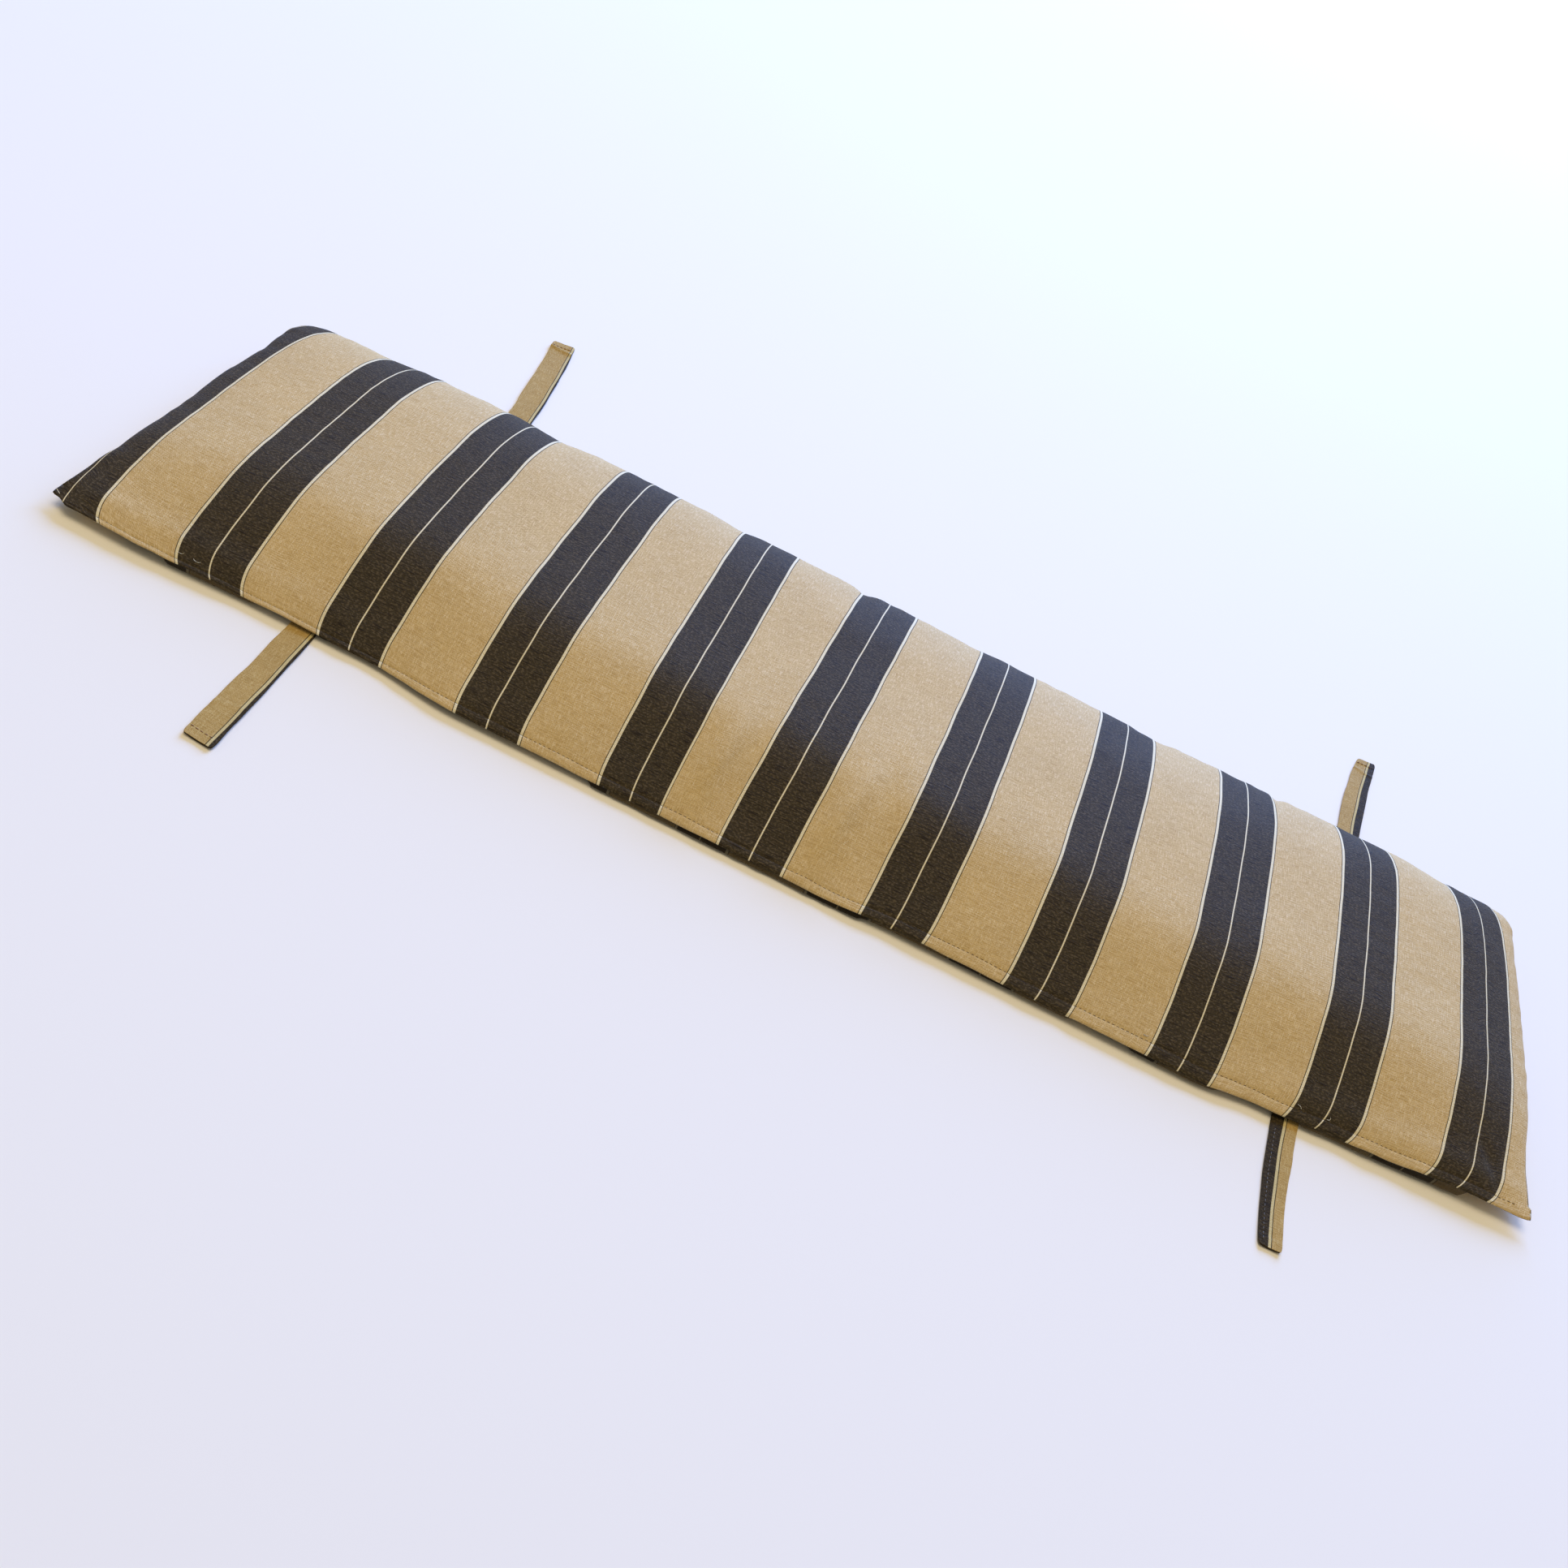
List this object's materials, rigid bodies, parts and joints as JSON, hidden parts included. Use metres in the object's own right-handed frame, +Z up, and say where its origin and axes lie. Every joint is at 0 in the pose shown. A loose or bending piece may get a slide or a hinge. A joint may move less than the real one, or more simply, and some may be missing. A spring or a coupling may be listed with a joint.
{
  "type": "dining bench cushion",
  "caption": "Long, thin bench cushion in broad-striped woven cloth, with a knife edge, a hanging closing hem along one side and flat ties with free ends.",
  "frame": {"origin": "middle of the flat underside, on the surface that the cushion lies on", "axes": "+X along the cushion's length, +Y towards the long side without the hanging hem, +Z up"},
  "size_m": [1.2021, 0.6505, 0.0514],
  "materials": {
    "striped_cloth": "matt",
    "tie_cloth": "matt"
  },
  "bodies": {
    "root": {"cushion": "striped_cloth", "strap_near_left": "tie_cloth", "strap_near_right": "tie_cloth", "strap_far_left": "tie_cloth", "strap_far_right": "tie_cloth"}
  },
  "joints": []
}
